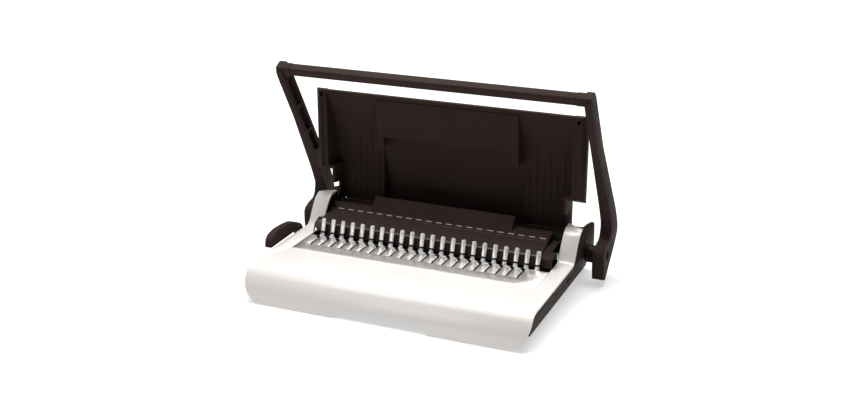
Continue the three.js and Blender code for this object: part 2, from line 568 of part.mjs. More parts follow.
// The raised bridge on the lid's inside, with a short leg at each end.
const BRIDGE = { x: 99, leg: 90, edge: 166.8, foot: 149.5, top: 218, t: 2.4 };
function lidBridge() {
  const { x, leg, edge, foot, top, t } = BRIDGE;
  const front = (z) => LID.front + 2 + (top - z) * 0.07;
  const plate = alongX([[front(foot), foot], [front(foot) + t, foot], [front(top - 5) + t, top - 5],
    [faceY(top) - GAP, top], [front(top), top]], -x, x);
  const side = alongX([[front(foot), foot], ...faceLine(foot, top, -GAP), [front(top), top]],
    x - t, x);
  return cut(join(plate, side, mirrorX(side)),
    box(-leg, leg, front(foot) - 40, LID.face, foot - 1, edge));
}
add('lid_bridge', lidBridge(), darkPlastic);

const hingePin = () => rodX(LID_AXIS.r, 161.4, CHEEK_IN + 9, LID_AXIS.y, LID_AXIS.z, 16);
add('right_lid_pin', hingePin(), brightSteel);
add('left_lid_pin', mirrorX(hingePin()), brightSteel);

// ---------------------------------------------------------------- chip tray
function chipTray() {
  const { x, front, rear, z0, z1 } = TRAY;
  return cut(
    join(box(-x, x, front, rear + 2.4, z0, z1 - 0.4), box(-30, 30, rear, rear + 5, 12, 22)),
    box(-x + 1.8, x - 1.8, front + 1.8, rear - 0.6, z0 + 1.8, z1 + 1),
    box(-27, 27, rear + 2.4, rear + 6, 9, 19.4));
}
add('chip_tray', chipTray(), greyPlastic);

// The origin is below the middle of the footprint.
const extent = new THREE.Box3().setFromObject(machine);
machine.position.y = -(extent.min.y + extent.max.y) / 2;

export default machine;
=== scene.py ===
# The looks of the comb binding machine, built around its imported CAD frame.
# Lengths are millimetres in the working frame of the comb, whose Y starts at the feet of the
# fingers; at() and the mesh helpers turn them into metres in the row's frame. The floor, the
# lights and the bump depths of the materials are in metres as they stand.
import json
from math import cos, pi, radians, sin, tan

import bmesh
import bpy
from mathutils import Matrix, Vector


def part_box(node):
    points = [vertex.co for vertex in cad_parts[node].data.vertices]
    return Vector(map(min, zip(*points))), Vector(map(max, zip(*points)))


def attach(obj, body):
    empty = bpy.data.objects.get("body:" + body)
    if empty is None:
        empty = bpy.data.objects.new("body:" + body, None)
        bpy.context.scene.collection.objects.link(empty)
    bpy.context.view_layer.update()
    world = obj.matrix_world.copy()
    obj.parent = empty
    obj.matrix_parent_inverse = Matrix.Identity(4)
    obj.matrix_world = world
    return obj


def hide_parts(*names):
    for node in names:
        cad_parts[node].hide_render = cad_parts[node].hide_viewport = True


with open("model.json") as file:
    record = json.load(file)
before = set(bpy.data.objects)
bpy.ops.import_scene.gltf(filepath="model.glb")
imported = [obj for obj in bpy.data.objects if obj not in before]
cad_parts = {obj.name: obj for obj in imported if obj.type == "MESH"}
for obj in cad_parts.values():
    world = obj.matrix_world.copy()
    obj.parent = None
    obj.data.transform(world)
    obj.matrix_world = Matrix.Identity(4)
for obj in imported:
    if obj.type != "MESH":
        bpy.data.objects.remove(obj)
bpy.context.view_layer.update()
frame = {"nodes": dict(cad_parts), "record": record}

MM = 0.001
PITCH = 14.2875                  # from one hole, or finger, to the next
HOLES = 21
FINGERS = HOLES + 1
PLATE_REAR = -2.6                # rear edge of the comb plate in the working frame
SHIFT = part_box("comb_plate")[1].y / MM - PLATE_REAR


def at(x, y, z):
    """A point of the working frame in metres in the row's frame."""
    return Vector((x, y + SHIFT, z)) * MM


# ------------------------------------------------------------------ camera
AZIMUTH, ELEVATION = radians(23.1), radians(19.8)
DISTANCE = 1512.1
TARGET = (6.0, 0.0, 107.2)
SENSOR_WIDTH, FOCAL_LENGTH = 36, 50
FARTHEST = 50                    # metres


def make_camera():
    forward = Vector((-sin(AZIMUTH) * cos(ELEVATION), cos(AZIMUTH) * cos(ELEVATION),
                      -sin(ELEVATION)))
    data = bpy.data.cameras.new("camera")
    data.sensor_width = SENSOR_WIDTH
    data.lens = FOCAL_LENGTH
    data.clip_end = FARTHEST
    camera = bpy.data.objects.new("camera", data)
    bpy.context.scene.collection.objects.link(camera)
    camera.location = at(*TARGET) - forward * DISTANCE * MM
    camera.rotation_euler = forward.to_track_quat("-Z", "Y").to_euler()
    bpy.context.scene.camera = camera


make_camera()

# ------------------------------------------------------------------ materials
NOISE_LOW, NOISE_HIGH = 0.3, 0.7     # most of a noise texture's values lie between these


class Shading:
    """A small helper that adds and links shader nodes."""

    def __init__(self, name):
        self.material = bpy.data.materials.new(name)
        self.material.use_nodes = True
        self.tree = self.material.node_tree
        self.shader = self.tree.nodes["Principled BSDF"]

    def add(self, kind, **inputs):
        """A new node with some of its inputs set."""
        node = self.tree.nodes.new(kind)
        for key, value in inputs.items():
            node.inputs[key.replace("_", " ")].default_value = value
        return node

    def link(self, source, target):
        self.tree.links.new(source, target)

    def drive(self, key, source):
        """Lets a texture set one of the shader's inputs."""
        self.link(source, self.shader.inputs[key])

    def put(self, **values):
        for key, value in values.items():
            self.shader.inputs[key.replace("_", " ")].default_value = value

    def place(self, stretch):
        """Object coordinates stretched along the three axes."""
        coordinates = self.add("ShaderNodeTexCoord")
        mapping = self.add("ShaderNodeMapping", Scale=stretch)
        self.link(coordinates.outputs["Object"], mapping.inputs["Vector"])
        return mapping.outputs["Vector"]

    def noise(self, scale, detail, stretch=(1, 1, 1), rough=0.55):
        texture = self.add("ShaderNodeTexNoise", Scale=scale, Detail=detail, Roughness=rough)
        self.link(self.place(stretch), texture.inputs["Vector"])
        return texture.outputs["Fac"]

    def cells(self, scale):
        """The distance to the middle of the nearest cell."""
        texture = self.add("ShaderNodeTexVoronoi", Scale=scale)
        self.link(self.place((1, 1, 1)), texture.inputs["Vector"])
        return texture.outputs["Distance"]

    def blend(self, factor, first, last, start=NOISE_LOW, end=NOISE_HIGH):
        """A colour that runs from the first to the last with the factor."""
        node = self.add("ShaderNodeValToRGB")
        stops = zip(node.color_ramp.elements, (start, end), (first, last))
        for element, position, color in stops:
            element.position = position
            element.color = (*color, 1)
        self.link(factor, node.inputs["Fac"])
        return node.outputs["Color"]

    def grey(self, factor, low, high):
        """A number that runs from low to high with the factor."""
        node = self.add("ShaderNodeMapRange", From_Min=NOISE_LOW, From_Max=NOISE_HIGH,
                        To_Min=low, To_Max=high)
        self.link(factor, node.inputs["Value"])
        return node.outputs["Result"]

    def bump(self, height, strength, distance):
        """Raises the surface with a texture, on top of any earlier bump."""
        node = self.add("ShaderNodeBump", Strength=strength, Distance=distance)
        self.link(height, node.inputs["Height"])
        if self.shader.inputs["Normal"].is_linked:
            self.link(self.shader.inputs["Normal"].links[0].from_socket, node.inputs["Normal"])
        self.drive("Normal", node.outputs["Normal"])


def moulded(name, dark, light, rough, grain=0.25, spec=0.5):
    """Moulded plastic: faint cloudy colour, a fine spark-eroded grain and uneven gloss."""
    s = Shading(name)
    s.put(IOR=1.5, Specular_IOR_Level=spec)
    s.drive("Base Color", s.blend(s.noise(scale=18, detail=4), dark, light))
    s.drive("Roughness", s.grey(s.noise(scale=60, detail=5), rough * 0.88, rough * 1.12))
    s.bump(s.noise(scale=2600, detail=2), grain, distance=0.00008)
    return s.material


def painted(name, flake, gap):
    """Pearl silver paint: fine flakes under a clear coat."""
    s = Shading(name)
    s.put(Metallic=0.1, Coat_Weight=0.15, Coat_Roughness=0.12, Coat_IOR=1.5)
    flakes = s.cells(scale=5200)
    s.drive("Base Color", s.blend(flakes, flake, gap, start=0.0, end=0.6))
    s.drive("Roughness", s.grey(s.noise(scale=30, detail=4), 0.30, 0.36))
    s.bump(flakes, strength=0.12, distance=0.00003)
    s.bump(s.noise(scale=35, detail=2), strength=0.03, distance=0.0004)
    return s.material


def darker(color):
    return tuple(c * 0.93 for c in color)


def brushed(name, color, rough):
    """Brushed sheet: fine streaks along X, in colour, gloss and height."""
    s = Shading(name)
    s.put(Metallic=1.0)
    streaks = s.noise(scale=9, detail=6, stretch=(1, 260, 260), rough=0.7)
    s.drive("Base Color", s.blend(streaks, darker(color), color))
    s.drive("Roughness", s.grey(streaks, rough * 0.8, rough * 1.25))
    s.bump(streaks, strength=0.2, distance=0.000006)
    return s.material


def polished(name, color, rough):
    """Bright plated steel with faint smudges and hairlines."""
    s = Shading(name)
    s.put(Metallic=0.6)
    smudge = s.noise(scale=90, detail=5)
    s.drive("Base Color", s.blend(smudge, darker(color), color))
    s.drive("Roughness", s.grey(smudge, rough * 0.7, rough * 1.4))
    s.bump(s.noise(scale=60, detail=4, stretch=(1, 1, 30)), strength=0.03, distance=0.00001)
    return s.material


def rubbery(name, dark, light):
    """Soft black rubber with a coarse, dull grain."""
    s = Shading(name)
    s.put(Specular_IOR_Level=0.3)
    s.drive("Base Color", s.blend(s.noise(scale=120, detail=5), dark, light))
    s.drive("Roughness", s.grey(s.noise(scale=200, detail=3), 0.7, 0.9))
    s.bump(s.noise(scale=900, detail=3), strength=0.3, distance=0.0002)
    return s.material


MATERIALS = {
    "dark_plastic": moulded("dark_plastic", (0.0300, 0.0196, 0.0166), (0.0350, 0.0234, 0.0200),
                            0.52, spec=0.015),
    "silver_plastic": painted("silver_plastic", (0.700, 0.660, 0.632), (0.655, 0.617, 0.592)),
    "brushed_steel": brushed("brushed_steel", (0.86, 0.825, 0.80), 0.36),
    "bright_steel": polished("bright_steel", (0.95, 0.95, 0.94), 0.28),
    "tool_steel": brushed("tool_steel", (0.07, 0.068, 0.068), 0.4),
    "grey_plastic": moulded("grey_plastic", (0.080, 0.074, 0.070), (0.100, 0.094, 0.089), 0.45,
                            spec=0.2),
    "tray_plastic": moulded("tray_plastic", (0.030, 0.024, 0.022), (0.038, 0.031, 0.028), 0.45,
                            spec=0.1),
    "black_plastic": moulded("black_plastic", (0.008, 0.007, 0.0065), (0.012, 0.011, 0.01),
                             0.45, spec=0.06),
    "rubber": rubbery("rubber", (0.012, 0.012, 0.012), (0.022, 0.021, 0.02)),
    "white_print": moulded("white_print", (0.36, 0.34, 0.325), (0.42, 0.40, 0.38), 0.4, grain=0.1),
}
SLOT_OF = {s["node"]: s["material_slot"] for s in frame["record"]["subparts"]}
BODY_OF = {node: body for body, nodes in frame["record"]["behaviour"]["bodies"].items()
           for node in nodes}


def dress(obj, slot):
    obj.data.materials.clear()
    obj.data.materials.append(MATERIALS[slot])


# ------------------------------------------------------------------ mesh helpers
SAME_POINT = 1e-7                # metres between corners of a drawn piece that are really one
SAME_CORNER = 2e-6               # metres between corners of a CAD node that are really one
FLAT = radians(0.6)              # faces that meet at less than this become one
CREASE = radians(38)             # edges sharper than this stay sharp in the shading
CURVE_STEPS = 6                  # pieces between two points of a smooth line
ROUND_SIDES = 48


def rounded(points, steps=8):
    """A ring of corners (u, v) or (u, v, radius), with the rounded corners drawn out."""
    ring = []
    for i, point in enumerate(points):
        here = Vector(point[:2])
        radius = point[2] if len(point) > 2 else 0
        if not radius:
            ring.append(here)
            continue
        before = Vector(points[i - 1][:2])
        after = Vector(points[(i + 1) % len(points)][:2])
        start = here + (before - here).normalized() * radius
        end = here + (after - here).normalized() * radius
        for k in range(steps + 1):
            t = k / steps
            ring.append(start * (1 - t) ** 2 + here * 2 * t * (1 - t) + end * t * t)
    return ring


def curved(points):
    """A smooth open line through the points (centripetal Catmull-Rom)."""
    points = [Vector(p) for p in points]
    padded = [points[0] * 2 - points[1], *points, points[-1] * 2 - points[-2]]
    line = [points[0]]
    for a, b, c, d in zip(padded, padded[1:], padded[2:], padded[3:]):
        t = [0.0]
        for p, q in ((a, b), (b, c), (c, d)):
            t.append(t[-1] + (q - p).length ** 0.5)
        for k in range(1, CURVE_STEPS + 1):
            x = t[1] + (t[2] - t[1]) * k / CURVE_STEPS
            a1 = a * ((t[1] - x) / (t[1] - t[0])) + b * ((x - t[0]) / (t[1] - t[0]))
            a2 = b * ((t[2] - x) / (t[2] - t[1])) + c * ((x - t[1]) / (t[2] - t[1]))
            a3 = c * ((t[3] - x) / (t[3] - t[2])) + d * ((x - t[2]) / (t[3] - t[2]))
            b1 = a1 * ((t[2] - x) / (t[2] - t[0])) + a2 * ((x - t[0]) / (t[2] - t[0]))
            b2 = a2 * ((t[3] - x) / (t[3] - t[1])) + a3 * ((x - t[1]) / (t[3] - t[1]))
            line.append(b1 * ((t[2] - x) / (t[2] - t[1])) + b2 * ((x - t[1]) / (t[2] - t[1])))
    return line


def parallel(points, distance):
    """An open line moved sideways, to the right of its direction of travel."""
    line = []
    for i, p in enumerate(points):
        into = (points[i] - points[i - 1]).normalized() if i else None
        out = (points[i + 1] - points[i]).normalized() if i + 1 < len(points) else None
        into = into or out
        out = out or into
        mid = (into + out).normalized()
        reach = distance / mid.dot(into)
        line.append(Vector((p.x + mid.y * reach, p.y - mid.x * reach)))
    return line


AXES = {"X": lambda u, v, w: at(w, u, v), "Y": lambda u, v, w: at(u, w, v),
        "Z": lambda u, v, w: at(u, v, w)}


def placed(name, data):
    """A new object in the scene that holds the data of a mesh or a light."""
    obj = bpy.data.objects.new(name, data)
    bpy.context.scene.collection.objects.link(obj)
    return obj


def new_object(name, bm):
    mesh = bpy.data.meshes.new(name)
    bmesh.ops.remove_doubles(bm, verts=bm.verts, dist=SAME_POINT)
    bmesh.ops.recalc_face_normals(bm, faces=bm.faces)
    bm.to_mesh(mesh)
    bm.free()
    return placed(name, mesh)


def prism(name, ring, axis, low, high):
    """A closed solid: a ring drawn across an axis and extruded along it."""
    bm = bmesh.new()
    ends = [[bm.verts.new(AXES[axis](*p, w)) for p in ring] for w in (low, high)]
    bm.faces.new(ends[0])
    bm.faces.new(ends[1])
    for i in range(len(ring)):
        j = (i + 1) % len(ring)
        bm.faces.new((ends[0][i], ends[0][j], ends[1][j], ends[1][i]))
    return new_object(name, bm)


def block(name, x0, x1, y0, y1, z0, z1):
    return prism(name, [(x0, y0), (x1, y0), (x1, y1), (x0, y1)], "Z", z0, z1)


def round_bar(name, radius, centre, low, high):
    """A round bar along X; its centre is (y, z)."""
    angles = [2 * pi * k / ROUND_SIDES for k in range(ROUND_SIDES)]
    ring = [(centre[0] + radius * cos(a), centre[1] + radius * sin(a)) for a in angles]
    return prism(name, ring, "X", low, high)


def baked(obj):
    """Writes an object's modifiers into its mesh."""
    bpy.context.view_layer.update()
    graph = bpy.context.evaluated_depsgraph_get()
    mesh = bpy.data.meshes.new_from_object(obj.evaluated_get(graph))
    obj.modifiers.clear()
    obj.data = mesh


def merge(name, parts):
    """One mesh made of several separate solids."""
    bm = bmesh.new()
    for part in parts:
        bm.from_mesh(part.data)
        bpy.data.objects.remove(part)
    return new_object(name, bm)


def carve(obj, *tools, how="DIFFERENCE"):
    """Cuts solids out of an object, or joins or intersects them with it."""
    for tool in tools:
        modifier = obj.modifiers.new("carve", "BOOLEAN")
        modifier.operation = how
        modifier.solver = "EXACT"
        modifier.object = tool
        baked(obj)
        bpy.data.objects.remove(tool)


def clean(obj):
    """Joins corners that are really one and faces that lie flat beside each other."""
    bm = bmesh.new()
    bm.from_mesh(obj.data)
    bmesh.ops.remove_doubles(bm, verts=bm.verts, dist=SAME_CORNER)
    bmesh.ops.dissolve_limit(bm, angle_limit=FLAT, verts=bm.verts, edges=bm.edges)
    bm.to_mesh(obj.data)
    bm.free()


def bevelled(obj, width, segments, angle=30):
    """Rounds the edges sharper than an angle and shades the rest smooth."""
    obj.data.shade_smooth()
    bevel = obj.modifiers.new("bevel", "BEVEL")
    bevel.width = width * MM
    bevel.segments = segments
    bevel.limit_method = "ANGLE"
    bevel.angle_limit = radians(angle)
    bevel.miter_outer = "MITER_ARC"
    bevel.harden_normals = True
    baked(obj)
    obj.data.set_sharp_from_angle(angle=CREASE)
    return obj


def soften(obj, width, segments=3, angle=30):
    """Cleans a solid and rounds its edges."""
    clean(obj)
    return bevelled(obj, width, segments, angle)


def show(obj, body, slot, *nodes):
    """Finishes a piece: its material, its body, and the CAD nodes it stands for."""
    dress(obj, slot)
    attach(obj, body)
    if nodes:
        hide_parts(*nodes)


def refined(node, width, segments=3, angle=30):
    """A copy of a CAD node with rounded edges, shown in its place."""
    copy = placed("fine_" + node, frame["nodes"][node].data.copy())
    soften(copy, width, segments, angle)
    show(copy, BODY_OF[node], SLOT_OF[node], node)


def hole_x(i):
    return (i - (HOLES - 1) / 2) * PITCH


def finger_x(i):
    return (i - (FINGERS - 1) / 2) * PITCH


# Every CAD node gets its material, so the ones that no piece stands for look right too.
for name, node in frame["nodes"].items():
    dress(node, SLOT_OF[name])

# ------------------------------------------------------------------ top cover
COVER_X = 188                    # half of its width
COVER_WALL = 2.6
COVER_CORNER = 34                # radius of the two lower corners of its front
COVER_LOW = 0.9
FRONT = -146
DECK_Z = 42
WINDOW_X = 166.7                 # half of the opening for the plate and the block
PLATE_FRONT = -53
BEHIND, ABOVE = 130, 100         # a place behind the whole cover, and a height above it
APRON_LINE = [(FRONT, COVER_LOW), (-143.6, 9), (-140, 19), (-135, 28.5), (-129.5, 36),
              (-123, 40.6), (-114, DECK_Z), (-104, DECK_Z)]
CHEEK_LINE = [(16, DECK_Z), (27, DECK_Z), (33, 44.7), (44, 61.2), (53.5, 73.0), (62, 78.0),
              (70, 79.2), (79, 79.4)]
NOTCH = [(66, COVER_LOW, 1.5), (61, 4, 2), (58, 11, 3), (52, 15.2, 3)]
SLANT = [(WINDOW_X - 1, 78.8), (COVER_X + 1, 64.8), (COVER_X + 1, 95), (WINDOW_X - 1, 95)]
SLANT_LOW = 50                   # above it the cheeks' rear ends slant forward to the outside


def left_side(ring):
    """The same ring on the left, where X is negative."""
    return [(-x, *rest) for x, *rest in ring]


def top_cover():
    outer = curved(APRON_LINE) + curved(CHEEK_LINE)
    inner = parallel(outer, COVER_WALL)
    inner[0].y = outer[0].y
    shell = prism("cover", outer + inner[::-1], "X", -COVER_X, COVER_X)
    face = [(-COVER_X, COVER_LOW, COVER_CORNER), *left_side(NOTCH), *NOTCH[::-1],
            (COVER_X, COVER_LOW, COVER_CORNER), (COVER_X, ABOVE), (-COVER_X, ABOVE)]
    carve(shell, prism("front", rounded(face, steps=14), "Y", FRONT - 10, BEHIND), how="INTERSECT")
    carve(shell, block("window", -WINDOW_X, WINDOW_X, PLATE_FRONT, BEHIND, 0, ABOVE))
    for ring in (SLANT, left_side(SLANT)):
        carve(shell, prism("slant", ring, "Z", SLANT_LOW, ABOVE))
    soften(shell, 0.9, segments=4, angle=40)
    show(shell, "base", "silver_plastic", "top_cover")


top_cover()

# ------------------------------------------------------------------ refined CAD nodes
for node in ("base_shell", "right_side_panel", "left_side_panel", "rear_cover",
             "right_end_block", "left_end_block", "lid_bridge", "chip_tray", "handle_shaft"):
    refined(node, 0.5)
refined("punch_block", 0.6, segments=4, angle=12)
refined("lid_shell", 0.6, angle=25)
for side in ("right", "left"):
    refined(side + "_shaft_bush", 0.4)
    for end in ("front", "rear"):
        refined(f"{end}_{side}_foot", 0.5)
refined("edge_dial", 0.4)
refined("pin_guide", 0.15, segments=2)

# ------------------------------------------------------------------ comb plate
PLATE_GAP = 0.3                  # between the plate and the edges of its opening
PLATE_BELOW, PLATE_THICK = 0.7, 1.2     # how far it starts below the deck, and its thickness
SLIT_FRONT, SLIT_REAR, SLIT_HALF = -33, -6.4, 1.1


def comb_plate():
    """A sheet with a slit for every hook, made from a grid that leaves out the slits."""
    edge = WINDOW_X - PLATE_GAP
    slit_edges = [finger_x(i) + side * SLIT_HALF for i in range(HOLES) for side in (-1, 1)]
    xs = [-edge, *slit_edges, edge]
    ys = [PLATE_FRONT + PLATE_GAP, SLIT_FRONT, SLIT_REAR, PLATE_REAR]
    bm = bmesh.new()
    grid = [[bm.verts.new(at(x, y, DECK_Z - PLATE_BELOW)) for y in ys] for x in xs]
    for i in range(len(xs) - 1):
        for j in range(len(ys) - 1):
            in_a_slit = j == 1 and i % 2 == 1
            if not in_a_slit:
                bm.faces.new((grid[i][j], grid[i + 1][j], grid[i + 1][j + 1], grid[i][j + 1]))
    raised = bmesh.ops.extrude_face_region(bm, geom=bm.faces[:])["geom"]
    bmesh.ops.translate(bm, vec=(0, 0, PLATE_THICK * MM),
                        verts=[v for v in raised if isinstance(v, bmesh.types.BMVert)])
    plate = bevelled(new_object("fine_comb_plate", bm), 0.2, segments=2)
    show(plate, "base", "brushed_steel", "comb_plate")


comb_plate()

# ------------------------------------------------------------------ handle
LEAN = radians(30)               # of the bar's square section
BAR_Y, BAR_Z, BAR_HALF, BAR_END, BAR_ROUND = 7, 262.6, 6.6, 190.2, 3
BAR_STEP = 0.4                   # how far the grip's faces lie inside those of the arms' corners
BAR_GAP = 0.3                    # between the end of the grip and the corner of an arm
SHAFT = (88, 38)                 # (y, z) of the handle's shaft
ARM_IN, ARM_OUT, ARM_OUT_TOP = 201, 216, 209.5
ARM_LINE = [
    (-1, 260.4, 2), (2.6, 252), (92, 101, 14), (105.5, 74, 9), (100, 56, 7), (84, 53, 6),
    (70.5, 47, 6), (70, 30, 6), (73.5, 9.6, 2), (83, 6.6, 2), (122, 41, 10), (136.6, 58, 10),
    (128, 86, 14), (20.6, 265, 4), (12, 272.2, 3), (4, 269, 3),
]
SPLAY_LOW, SPLAY_HIGH = 66, 190  # heights between which the arm's outside slopes in
ARM_TOP, BESIDE_ARM = 300, 9     # a height above the arm, and a distance out from it
ARM_DEPTH = (-60, 150)           # places in front of the arm and behind it
POCKET_TOP = ((12, 245.5), (22.6, 251))         # upper end of the pockets on the arm's inside
POCKET_RUN = (0.51, -0.86)       # the direction of the pockets, down the arm
POCKET_SPANS = ((0, 50), (54, 96), (100, 136))  # where each one starts and ends along it
POCKET_DEPTH = 5
RECESS, RECESS_DEPTH = 6.5, 6    # radius and depth of the round recess outside the shaft
SEAT, SEAT_OVERLAP = 7.8, 0.1    # radius of the shaft's seat, and how far it meets the recess


def bar_section(half):
    """The bar's square section, turned by its lean, with rounded corners."""
    return [(BAR_Y + half * (a * cos(LEAN) - b * sin(LEAN)),
             BAR_Z + half * (a * sin(LEAN) + b * cos(LEAN)), BAR_ROUND)
            for a, b in ((-1, -1), (1, -1), (1, 1), (-1, 1))]


def mirrored(obj, name):
    """A copy of a piece mirrored across the middle plane."""
    mesh = obj.data.copy()
    mesh.transform(Matrix.Scale(-1, 4, Vector((1, 0, 0))))
    mesh.flip_normals()
    return placed(name, mesh)


def pocket(start, end):
    """A shallow pocket between two distances down the arm."""
    ring = [(y + t * POCKET_RUN[0], z + t * POCKET_RUN[1])
            for (y, z), ends in zip(POCKET_TOP, ((start, end), (end, start))) for t in ends]
    return prism("pocket", ring, "X", ARM_IN - 1, ARM_IN + POCKET_DEPTH)


def right_arm():
    """The arm with the bar's corner at its top, its pockets, and the seat of the shaft."""
    blade = prism("arm_right", rounded(ARM_LINE, steps=10), "X", ARM_IN, ARM_OUT)
    corner = rounded(bar_section(BAR_HALF), steps=6)
    carve(blade, prism("corner", corner, "X", BAR_END + BAR_GAP, ARM_OUT_TOP), how="UNION")
    splay = [(ARM_OUT + 0.01, SPLAY_LOW), (ARM_OUT_TOP, SPLAY_HIGH), (ARM_OUT_TOP, ARM_TOP),
             (ARM_OUT + BESIDE_ARM, ARM_TOP), (ARM_OUT + BESIDE_ARM, SPLAY_LOW)]
    carve(blade, prism("splay", splay, "Y", *ARM_DEPTH))
    for span in POCKET_SPANS:
        carve(blade, pocket(*span))
    floor = ARM_OUT - RECESS_DEPTH
    carve(blade, round_bar("recess", RECESS, SHAFT, floor, ARM_OUT + 1),
          round_bar("seat", SEAT, SHAFT, ARM_IN - 5, floor + SEAT_OVERLAP))
    return soften(blade, 0.9, segments=4)


def handle():
    right = right_arm()
    left = mirrored(right, "arm_left")
    show(right, "handle", "dark_plastic", "right_arm")
    show(left, "handle", "dark_plastic", "left_arm")
    section = rounded(bar_section(BAR_HALF - BAR_STEP))
    bar = prism("grip_bar", section, "X", -BAR_END, BAR_END)
    show(soften(bar, 0.5), "handle", "dark_plastic", "handle_bar")


handle()

# ------------------------------------------------------------------ fingers
FINGER_HALF, FINGER_TIP = 2.8, 2.4      # half of a finger's width, and the radius at its top
FINGER_FOOT, FINGER_SHOULDER, FINGER_TOP = 36, 41.2, 65.6
FINGER_FLARE, FINGER_RISE = 1.6, 2      # the slope between a finger and the strip below it
FINGER_THICK = 1.4
FINGER_LEAN = 0.33               # radians
FINGER_Y = -0.6                  # front face of the fingers at the height of the deck
STRIP_END = 8                    # from the middle of the last finger to the end of the strip
STRIP_TOP = 39.2                 # height of the strip's two ends


def finger_comb():
    end = finger_x(FINGERS - 1) + STRIP_END
    ring = [(-end, FINGER_FOOT), (end, FINGER_FOOT), (end, STRIP_TOP)]
    for i in reversed(range(FINGERS)):
        right = [(FINGER_HALF + FINGER_FLARE, FINGER_SHOULDER),
                 (FINGER_HALF, FINGER_SHOULDER + FINGER_RISE),
                 (FINGER_HALF, FINGER_TOP, FINGER_TIP)]
        ring += [(finger_x(i) + x, *rest) for x, *rest in right + left_side(right)[::-1]]
    ring.append((-end, STRIP_TOP))
    comb = prism("fingers", rounded(ring, steps=6), "Y", 0, FINGER_THICK)
    comb.data.transform(Matrix.Translation(at(0, FINGER_Y, DECK_Z))
                        @ Matrix.Rotation(-FINGER_LEAN, 4, "X")
                        @ Matrix.Translation(-at(0, 0, DECK_Z)))
    show(soften(comb, 0.22), "base", "bright_steel", "finger_comb")


def finger_y(z):
    """The front face of the leaning fingers at a height."""
    return FINGER_Y + (z - DECK_Z) * tan(FINGER_LEAN)


# Painted shade: black bands at the feet of the fingers, where shade falls.
FOOT_SHADE_LOW, FOOT_SHADE_HIGH, FOOT_SHADE_HALF = 46.0, 48.0, 3.1
FOOT_SHADE_FRONT, FOOT_SHADE_REAR = -0.4, 1.9   # from the front face of the finger


def finger_foot_shade():
    """Painted shade: a narrow dark band round the foot of every finger, standing in for the shade
    on the fingers' lower part.
    """
    edges = ((FOOT_SHADE_FRONT, FOOT_SHADE_LOW), (FOOT_SHADE_FRONT, FOOT_SHADE_HIGH),
             (FOOT_SHADE_REAR, FOOT_SHADE_HIGH), (FOOT_SHADE_REAR, FOOT_SHADE_LOW))
    ring = [(finger_y(z) + out, z) for out, z in edges]
    shade_bands = [prism("foot_shade_band", ring, "X", finger_x(i) - FOOT_SHADE_HALF, finger_x(i) + FOOT_SHADE_HALF)
               for i in range(FINGERS)]
    show(soften(merge("finger_foot_shade", shade_bands), 0.2, segments=2), "base", "black_plastic")


HEAD_HALF, HEAD_FRONT, HEAD_REAR = 3.3, -12.4, -11.2
HEAD_LOW, HEAD_MIDDLE, HEAD_HIGH = 42.9, 45.2, 47.6


def hook_heads():
    """The diamond heads of the hooks that stand up through the slits of the plate; their black is
    partly the dark steel and partly painted shade.
    """
    heads = []
    for x in [finger_x(i) for i in range(HOLES)]:
        ring = [(x - HEAD_HALF, HEAD_MIDDLE), (x, HEAD_LOW), (x + HEAD_HALF, HEAD_MIDDLE),
                (x, HEAD_HIGH)]
        heads.append(prism("head", ring, "Y", HEAD_FRONT, HEAD_REAR))
    # Black plastic rather than tool steel: the dark steel of the heads with painted shade on it.
    show(soften(merge("hook_heads", heads), 0.2, segments=2), "opener", "black_plastic")


finger_comb()
finger_foot_shade()
hook_heads()

# ------------------------------------------------------------------ comb lever
LEVER_OUT, LEVER_IN = -198.8, -190
LEVER_AXLE = (22, 26)            # (y, z) of the lever's shaft
LEVER_SEAT, LEVER_WALL = 4.3, 3  # radius of the shaft's seat, and the wall outside it
LEVER_LINE = [
    (-66, 41.8, 1), (-65.4, 55, 9), (-47, 60.2, 8), (-24, 59.6, 6), (-4, 57.4, 8), (13.5, 49.4, 3),
    (17.5, 45.5, 2), (20, 39.5, 3), (31, 29, 6), (24, 16, 6), (12, 22, 5), (9, 38, 4),
    (4, 43.4, 4),
]


def comb_lever():
    lever = prism("lever", rounded(LEVER_LINE, steps=10), "X", LEVER_OUT, LEVER_IN)
    carve(lever, round_bar("seat", LEVER_SEAT, LEVER_AXLE, LEVER_OUT + LEVER_WALL, LEVER_IN + 5))
    show(soften(lever, 1.0, segments=4), "lever", "dark_plastic", "comb_lever")


comb_lever()

# ------------------------------------------------------------------ marks and a painted highlight on the punch block
BLOCK_TOP = [(12, 56.4), (40, 66), (59.7, 71.4)]    # the block's slope from front to rear
MARK_SINK = 0.3                  # how deep a mark reaches into the block
DASH_HALF, DASH_FRONT, DASH_REAR, DASH_PROUD = 4, 42.9, 44.1, 0.15
TICK_HALF, TICK_FRONT, TICK_REAR, TICK_PROUD = 1.1, 37.9, 38.6, 0.12
TICK_STEP = 3.4                  # three ticks stand this far apart at each hole
SCALE_START = 9                  # the hole where the scale starts
# Painted highlight: a grey strip on the block's front edge that stands in for the light it
# catches.
HIGHLIGHT_LINE = [(10.4, 54.8), (10.4, 55.6), (11.7, 56.6), (12.0, 56.2)]
HIGHLIGHT_X = 150.4


def block_z(y):
    """The height of the block's top, which slopes less behind its bend."""
    bend = BLOCK_TOP[1][0]
    (a, za), (b, zb) = BLOCK_TOP[:2] if y <= bend else BLOCK_TOP[1:]
    return za + (zb - za) * (y - a) / (b - a)


def slab(x, half, front, rear, proud):
    """A thin raised mark that lies on the block's slope."""
    ring = [(front, block_z(front) - MARK_SINK), (rear, block_z(rear) - MARK_SINK),
            (rear, block_z(rear) + proud), (front, block_z(front) + proud)]
    return prism("mark", ring, "X", x - half, x + half)


